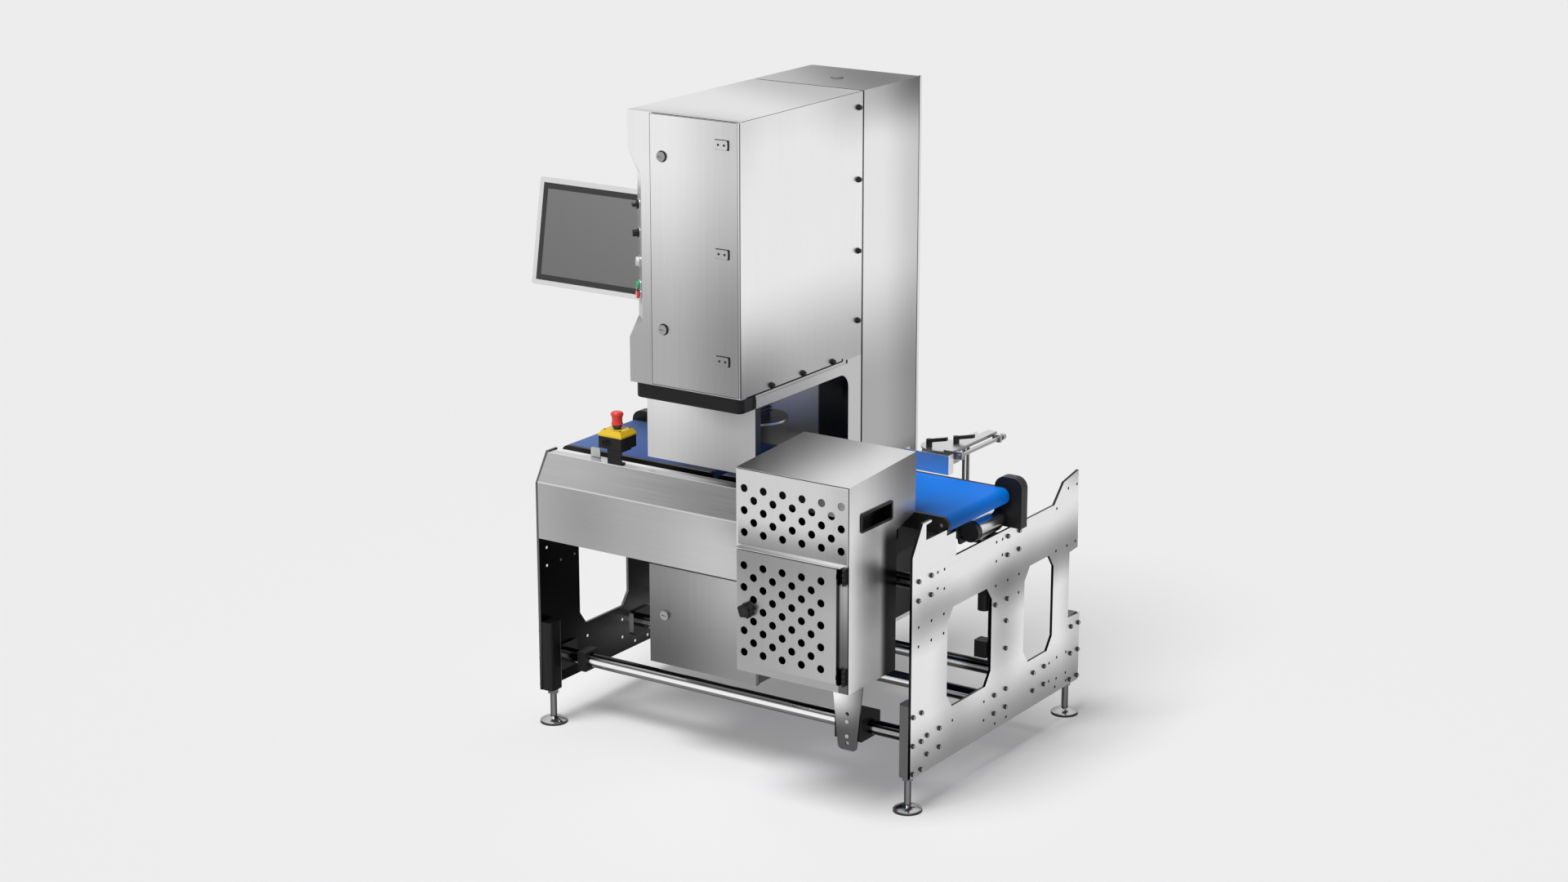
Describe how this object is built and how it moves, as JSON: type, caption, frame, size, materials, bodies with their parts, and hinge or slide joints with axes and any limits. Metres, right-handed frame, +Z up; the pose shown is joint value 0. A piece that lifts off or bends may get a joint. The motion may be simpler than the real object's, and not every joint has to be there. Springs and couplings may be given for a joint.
{
  "type": "weigh price labeller",
  "caption": "Free-standing food packing machine: belts weigh packs and carry them under a labelling head on a column, and a pusher sends wrong ones into a locked perforated bin.",
  "frame": {"origin": "middle of the machine's outer box, on the floor", "axes": "+X along the belts towards the outfeed, +Y to the back, +Z up"},
  "size_m": [1.532, 1.1994, 1.889],
  "materials": {
    "brushed_steel": "brushed",
    "satin_steel": "satin",
    "polished_steel": "polished",
    "black_plastic": "moulded",
    "dark_post": "satin",
    "foot_steel": "polished",
    "belt_blue": "smooth",
    "roller_steel": "turned",
    "rail_black": "satin",
    "drive_black": "satin",
    "cell_aluminium": "satin",
    "yellow_plastic": "moulded",
    "red_plastic": "gloss",
    "white_plastic": "gloss",
    "green_plastic": "gloss",
    "display_metal": "satin",
    "display_glass": "gloss",
    "paper": "matte",
    "ram_plastic": "moulded"
  },
  "bodies": {
    "frame": {"side_plate_right": "brushed_steel", "side_plate_left": "brushed_steel", "corner_posts": "dark_post", "cross_tubes": "polished_steel", "clamp_blocks": "black_plastic", "front_cover": "brushed_steel", "drip_tray": "polished_steel", "conveyor_belts": "belt_blue", "conveyor_frame": "rail_black", "load_cell": "cell_aluminium", "drive_motors": "roller_steel", "drive_housings": "drive_black", "estop_bracket": "dark_post", "estop_box": "black_plastic", "estop_lid": "yellow_plastic", "head_shell": "brushed_steel", "head_side_panel": "brushed_steel", "head_frame": "brushed_steel", "head_skirt": "black_plastic", "head_guard": "brushed_steel", "column": "brushed_steel", "rear_cover": "brushed_steel", "print_unit": "satin_steel", "reject_bin": "brushed_steel", "bin_screen": "satin_steel", "bin_grip": "black_plastic", "bin_leg": "brushed_steel", "cabinet": "brushed_steel", "pusher_stand": "satin_steel", "valve_block": "black_plastic"},
    "foot_front_left": {"foot_front_left": "foot_steel"},
    "foot_front_right": {"foot_front_right": "foot_steel"},
    "foot_back_left": {"foot_back_left": "foot_steel"},
    "foot_back_right": {"foot_back_right": "foot_steel"},
    "weigh_drive": {"weigh_drive_roller": "roller_steel"},
    "weigh_idle": {"weigh_idle_roller": "roller_steel"},
    "outfeed_drive": {"outfeed_drive_roller": "roller_steel"},
    "outfeed_idle": {"outfeed_idle_roller": "roller_steel"},
    "head_door": {"head_door": "brushed_steel"},
    "head_lock_upper": {"head_lock_upper": "satin_steel"},
    "head_lock_lower": {"head_lock_lower": "satin_steel"},
    "selector": {"selector_switch": "black_plastic"},
    "dial": {"dial_knob": "black_plastic"},
    "white_button": {"white_button": "white_plastic"},
    "start_button": {"start_button": "green_plastic"},
    "stop_button": {"stop_button": "red_plastic"},
    "estop": {"estop_button": "red_plastic"},
    "display_arm": {"display_arm": "display_metal"},
    "display": {"display_housing": "display_metal", "display_glass": "display_glass"},
    "label_reel": {"label_reel": "paper"},
    "liner_reel": {"liner_reel": "paper"},
    "applicator": {"applicator": "ram_plastic"},
    "bin_door": {"bin_door": "satin_steel"},
    "bin_knob": {"bin_knob": "black_plastic"},
    "cabinet_door": {"cabinet_door": "brushed_steel"},
    "cabinet_lock": {"cabinet_lock": "black_plastic"},
    "pusher": {"pusher_plate": "brushed_steel"},
    "lever_front": {"clamp_lever_front": "black_plastic"},
    "lever_back": {"clamp_lever_back": "black_plastic"}
  },
  "joints": [
    {"name": "foot_front_left_level", "type": "slide", "parent": "frame", "child": "foot_front_left", "axis": [0, 0, 1], "range_m": [-0.03, 0]},
    {"name": "foot_front_right_level", "type": "slide", "parent": "frame", "child": "foot_front_right", "axis": [0, 0, 1], "range_m": [-0.03, 0]},
    {"name": "foot_back_left_level", "type": "slide", "parent": "frame", "child": "foot_back_left", "axis": [0, 0, 1], "range_m": [-0.03, 0]},
    {"name": "foot_back_right_level", "type": "slide", "parent": "frame", "child": "foot_back_right", "axis": [0, 0, 1], "range_m": [-0.03, 0]},
    {"name": "weigh_drive_spin", "type": "hinge", "parent": "frame", "child": "weigh_drive", "pos_m": [-0.585, -0.00135, 0.795], "axis": [0, 1, 0], "continuous": true},
    {"name": "weigh_idle_spin", "type": "hinge", "parent": "frame", "child": "weigh_idle", "pos_m": [-0.076, -0.00135, 0.795], "axis": [0, 1, 0], "continuous": true},
    {"name": "outfeed_drive_spin", "type": "hinge", "parent": "frame", "child": "outfeed_drive", "pos_m": [0.709, -0.00135, 0.795], "axis": [0, 1, 0], "continuous": true},
    {"name": "outfeed_idle_spin", "type": "hinge", "parent": "frame", "child": "outfeed_idle", "pos_m": [-0.02, -0.00135, 0.795], "axis": [0, 1, 0], "continuous": true},
    {"name": "head_door_hinge", "type": "hinge", "parent": "frame", "child": "head_door", "pos_m": [0.133, -0.35235, 1.494], "axis": [0, 0, 1], "range_deg": [0, 110]},
    {"name": "head_lock_upper_turn", "type": "hinge", "parent": "head_door", "child": "head_lock_upper", "pos_m": [-0.119, -0.35535, 1.765], "axis": [0, 1, 0], "range_deg": [0, 90]},
    {"name": "head_lock_lower_turn", "type": "hinge", "parent": "head_door", "child": "head_lock_lower", "pos_m": [-0.119, -0.35535, 1.27], "axis": [0, 1, 0], "range_deg": [0, 90]},
    {"name": "selector_turn", "type": "hinge", "parent": "frame", "child": "selector", "pos_m": [-0.215, -0.33235, 1.615], "axis": [-0.7071, -0.7071, 0], "range_deg": [-45, 45]},
    {"name": "dial_turn", "type": "hinge", "parent": "frame", "child": "dial", "pos_m": [-0.215, -0.33235, 1.533], "axis": [-0.7071, -0.7071, 0], "range_deg": [-135, 135]},
    {"name": "white_button_press", "type": "slide", "parent": "frame", "child": "white_button", "axis": [0.7071, 0.7071, 0], "range_m": [0, 0.003], "stiffness_N_per_m": 600, "springref_m": -0.002},
    {"name": "start_button_press", "type": "slide", "parent": "frame", "child": "start_button", "axis": [0.7071, 0.7071, 0], "range_m": [0, 0.003], "stiffness_N_per_m": 600, "springref_m": -0.002},
    {"name": "stop_button_press", "type": "slide", "parent": "frame", "child": "stop_button", "axis": [0.7071, 0.7071, 0], "range_m": [0, 0.003], "stiffness_N_per_m": 600, "springref_m": -0.002},
    {"name": "estop_press", "type": "slide", "parent": "frame", "child": "estop", "axis": [0, 0, -1], "range_m": [0, 0.005], "stiffness_N_per_m": 2500, "springref_m": -0.002},
    {"name": "display_swivel", "type": "hinge", "parent": "frame", "child": "display_arm", "pos_m": [-0.261, -0.01335, 1.44], "axis": [0, 0, 1], "range_deg": [-45, 6]},
    {"name": "display_tilt", "type": "hinge", "parent": "display_arm", "child": "display", "pos_m": [-0.516, -0.02335, 1.44], "axis": [1, 0, 0], "range_deg": [-12, 12]},
    {"name": "label_reel_spin", "type": "hinge", "parent": "frame", "child": "label_reel", "pos_m": [-0.046, -0.16135, 1.69], "axis": [0, 1, 0], "continuous": true},
    {"name": "liner_reel_spin", "type": "hinge", "parent": "frame", "child": "liner_reel", "pos_m": [0.014, -0.16135, 1.415], "axis": [0, 1, 0], "continuous": true},
    {"name": "applicator_stroke", "type": "slide", "parent": "frame", "child": "applicator", "axis": [0, 0, -1], "range_m": [0, 0.1]},
    {"name": "bin_door_hinge", "type": "hinge", "parent": "frame", "child": "bin_door", "pos_m": [0.61, -0.57135, 0.586], "axis": [0, 0, 1], "range_deg": [0, 110]},
    {"name": "bin_knob_turn", "type": "hinge", "parent": "bin_door", "child": "bin_knob", "pos_m": [0.317, -0.57535, 0.583], "axis": [0, 1, 0], "range_deg": [0, 90]},
    {"name": "cabinet_door_hinge", "type": "hinge", "parent": "frame", "child": "cabinet_door", "pos_m": [0.203, -0.37235, 0.425], "axis": [0, 0, 1], "range_deg": [0, 88]},
    {"name": "cabinet_lock_turn", "type": "hinge", "parent": "cabinet_door", "child": "cabinet_lock", "pos_m": [-0.108, -0.37735, 0.427], "axis": [0, 1, 0], "range_deg": [0, 90]},
    {"name": "pusher_stroke", "type": "slide", "parent": "frame", "child": "pusher", "axis": [0, -1, 0], "range_m": [0, 0.24]},
    {"name": "lever_front_turn", "type": "hinge", "parent": "frame", "child": "lever_front", "pos_m": [0.427, 0.19865, 0.881], "axis": [0, 0, 1], "range_deg": [-40, 40]},
    {"name": "lever_back_turn", "type": "hinge", "parent": "frame", "child": "lever_back", "pos_m": [0.477, 0.26865, 0.881], "axis": [0, 0, 1], "range_deg": [-40, 40]}
  ],
  "couplings": [
    {"joint": "weigh_idle_spin", "follows": "weigh_drive_spin", "ratio": 1},
    {"joint": "outfeed_idle_spin", "follows": "outfeed_drive_spin", "ratio": 1}
  ]
}
